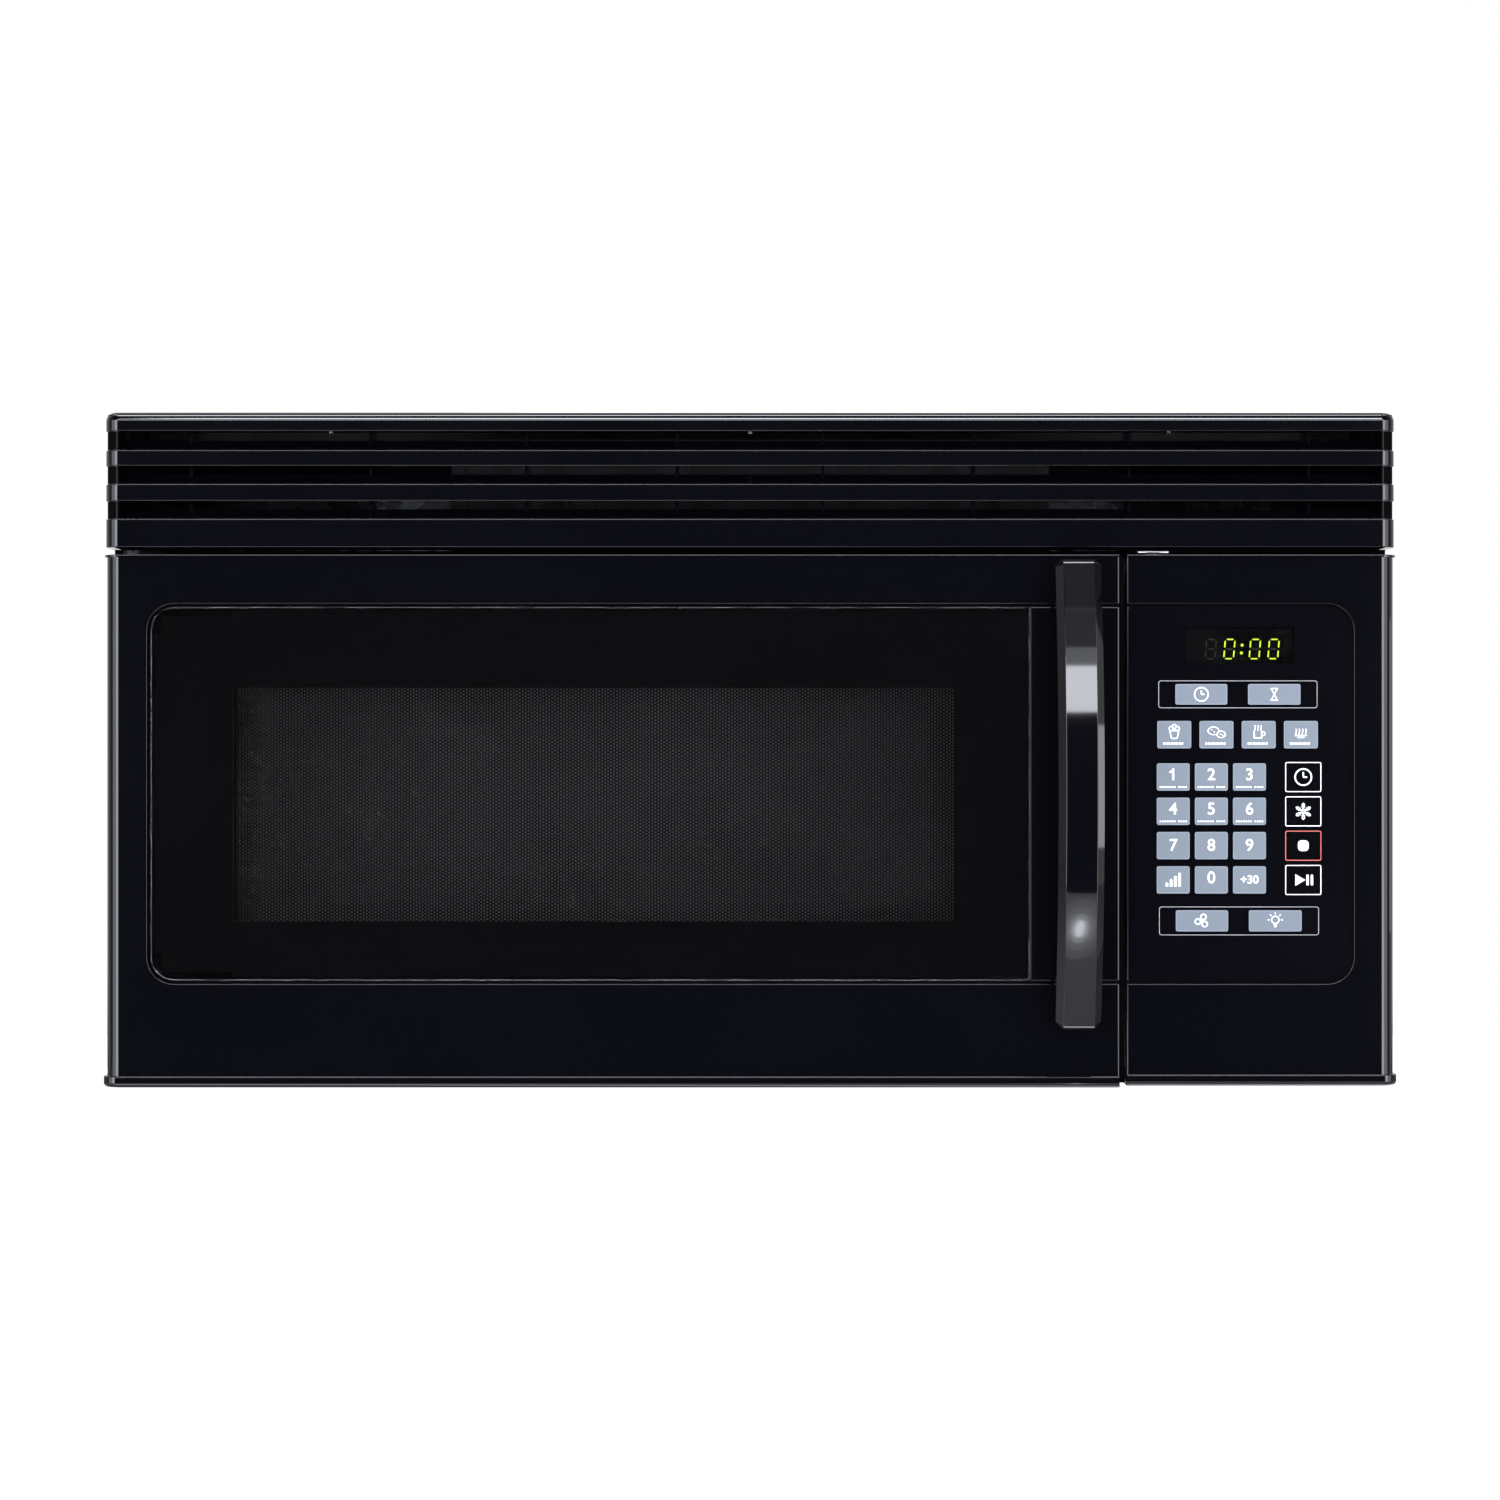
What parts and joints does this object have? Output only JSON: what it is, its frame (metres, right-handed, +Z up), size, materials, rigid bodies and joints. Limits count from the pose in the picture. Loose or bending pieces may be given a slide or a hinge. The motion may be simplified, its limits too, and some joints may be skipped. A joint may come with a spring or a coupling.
{
  "type": "over the range microwave",
  "caption": "Microwave oven for mounting over a range, with side-hinged glazed door, keypad panel, louvred vent grille and built-in extractor.",
  "frame": {"origin": "centre of the outer box on the surface that the base plate stands on", "axes": "+Z up; the door faces -Y; +X to the right seen from the front"},
  "size_m": [0.762, 0.422, 0.417],
  "materials": {
    "black_gloss": "moulded, high gloss black",
    "handle_gloss": "moulded, high gloss black",
    "black_plastic": "moulded, satin",
    "casing_paint": "powder coat, satin black",
    "galvanised_steel": "zinc coated sheet",
    "screw_steel": "bright zinc",
    "motor_steel": "laminated and pressed steel",
    "spring_steel": "bright wire",
    "oven_paint": "light grey baked enamel",
    "mica": "mica sheet",
    "lamp_glass": "frosted",
    "tray_glass": "pressed clear glass",
    "clear_sheet": "clear sheet",
    "dark_pane": "dark tinted, polished",
    "display_lens": "smoked",
    "thermostat_ceramic": "unglazed",
    "socket_ceramic": "unglazed",
    "white_plastic": "moulded",
    "magnetron_metal": "pressed steel and aluminium fins",
    "transformer_iron": "varnished laminations and windings",
    "capacitor_can": "drawn can",
    "charcoal": "charcoal bed in a moulded frame",
    "door_steel": "black coated steel",
    "screen_steel": "black coated, punched",
    "membrane": "printed, embossed polyester",
    "board_green": "circuit board",
    "grommet_rubber": "moulded",
    "filter_aluminium": "expanded mesh in a folded frame"
  },
  "bodies": {
    "chassis": {"outer_wrap": "casing_paint", "rear_panel": "galvanised_steel", "base_plate": "casing_paint", "top_rail": "casing_paint", "component_shelf": "galvanised_steel", "casing_screws": "screw_steel", "oven_cavity": "oven_paint", "waveguide": "galvanised_steel", "waveguide_cover": "mica", "cavity_lamp": "lamp_glass", "thermal_cutouts": "thermostat_ceramic", "turntable_motor": "motor_steel", "magnetron": "magnetron_metal", "high_voltage_transformer": "transformer_iron", "high_voltage_capacitor": "capacitor_can", "capacitor_clamp": "galvanised_steel", "high_voltage_diode": "black_plastic", "fan_shroud": "galvanised_steel", "fan_motor": "motor_steel", "blower_housing_left": "galvanised_steel", "blower_housing_right": "galvanised_steel", "blower_motor": "motor_steel", "exhaust_adapter": "galvanised_steel", "charcoal_filter": "charcoal", "vent_grille": "black_gloss", "hinge_brackets": "casing_paint", "latch_housing": "white_plastic", "interlock_switches": "black_plastic", "control_frame": "black_gloss", "keypad_overlay": "membrane", "display_window": "display_lens", "control_board": "board_green", "noise_filter_board": "board_green", "cord_grommet": "grommet_rubber", "surface_lamps": "lamp_glass", "lamp_sockets": "socket_ceramic"},
    "door": {"door_frame": "black_gloss", "door_window": "dark_pane", "choke_panel": "door_steel", "perforated_screen": "screen_steel", "inner_window": "clear_sheet", "choke_cover": "black_plastic", "door_handle": "handle_gloss", "handle_screws": "screw_steel", "latch_spring": "spring_steel"},
    "latch": {"latch_hooks": "white_plastic"},
    "coupler": {"turntable_coupler": "white_plastic"},
    "tray": {"glass_tray": "tray_glass"},
    "ring": {"roller_ring": "white_plastic"},
    "roller_1": {"roller_1": "white_plastic"},
    "roller_2": {"roller_2": "white_plastic"},
    "roller_3": {"roller_3": "white_plastic"},
    "fan": {"cooling_fan": "white_plastic"},
    "blower": {"blower_shaft": "screw_steel", "blower_wheel_left": "white_plastic", "blower_wheel_right": "white_plastic"},
    "damper": {"damper_flap": "galvanised_steel"},
    "lamp_cover": {"surface_lamp_cover": "lamp_glass"},
    "filter_left": {"grease_filter_left": "filter_aluminium"},
    "filter_right": {"grease_filter_right": "filter_aluminium"}
  },
  "joints": [
    {"name": "door_hinge", "type": "hinge", "parent": "chassis", "child": "door", "pos_m": [-0.366, -0.156, 0.157], "axis": [0, 0, -1], "range_deg": [0, 110]},
    {"name": "latch_slide", "type": "slide", "parent": "door", "child": "latch", "axis": [0, 0, 1], "range_m": [0, 0.004], "stiffness_N_per_m": 250, "springref_m": -0.006, "deforming": ["latch_spring"]},
    {"name": "turntable_spin", "type": "hinge", "parent": "chassis", "child": "coupler", "pos_m": [-0.078, 0.031, 0.053], "axis": [0, 0, 1], "continuous": true},
    {"name": "tray_lift", "type": "slide", "parent": "coupler", "child": "tray", "axis": [0, 0, 1], "range_m": [0, 0.025]},
    {"name": "ring_spin", "type": "hinge", "parent": "chassis", "child": "ring", "pos_m": [-0.078, 0.031, 0.0533], "axis": [0, 0, 1], "continuous": true},
    {"name": "roller_1_spin", "type": "hinge", "parent": "ring", "child": "roller_1", "pos_m": [0.0285, 0.031, 0.0533], "axis": [1, 0, 0], "continuous": true},
    {"name": "roller_2_spin", "type": "hinge", "parent": "ring", "child": "roller_2", "pos_m": [-0.13125, 0.12323, 0.0533], "axis": [-0.5, 0.866, 0], "continuous": true},
    {"name": "roller_3_spin", "type": "hinge", "parent": "ring", "child": "roller_3", "pos_m": [-0.13125, -0.06123, 0.0533], "axis": [-0.5, -0.866, 0], "continuous": true},
    {"name": "fan_spin", "type": "hinge", "parent": "chassis", "child": "fan", "pos_m": [0.285, 0.168, 0.225], "axis": [0, 1, 0], "continuous": true},
    {"name": "blower_spin", "type": "hinge", "parent": "chassis", "child": "blower", "pos_m": [0, 0.128, 0.343], "axis": [1, 0, 0], "continuous": true},
    {"name": "damper_hinge", "type": "hinge", "parent": "chassis", "child": "damper", "pos_m": [0, 0.12475, 0.406], "axis": [1, 0, 0], "range_deg": [0, 80]},
    {"name": "lamp_cover_hinge", "type": "hinge", "parent": "chassis", "child": "lamp_cover", "pos_m": [0, -0.0632, 0.0024], "axis": [1, 0, 0], "range_deg": [0, 90]},
    {"name": "filter_left_slide", "type": "slide", "parent": "chassis", "child": "filter_left", "axis": [0, 1, 0], "range_m": [0, 0.01]},
    {"name": "filter_right_slide", "type": "slide", "parent": "chassis", "child": "filter_right", "axis": [0, 1, 0], "range_m": [0, 0.01]}
  ],
  "couplings": [
    {"joint": "ring_spin", "follows": "turntable_spin", "ratio": 0.5},
    {"joint": "roller_1_spin", "follows": "turntable_spin", "ratio": -7.6071},
    {"joint": "roller_2_spin", "follows": "turntable_spin", "ratio": -7.6071},
    {"joint": "roller_3_spin", "follows": "turntable_spin", "ratio": -7.6071}
  ]
}
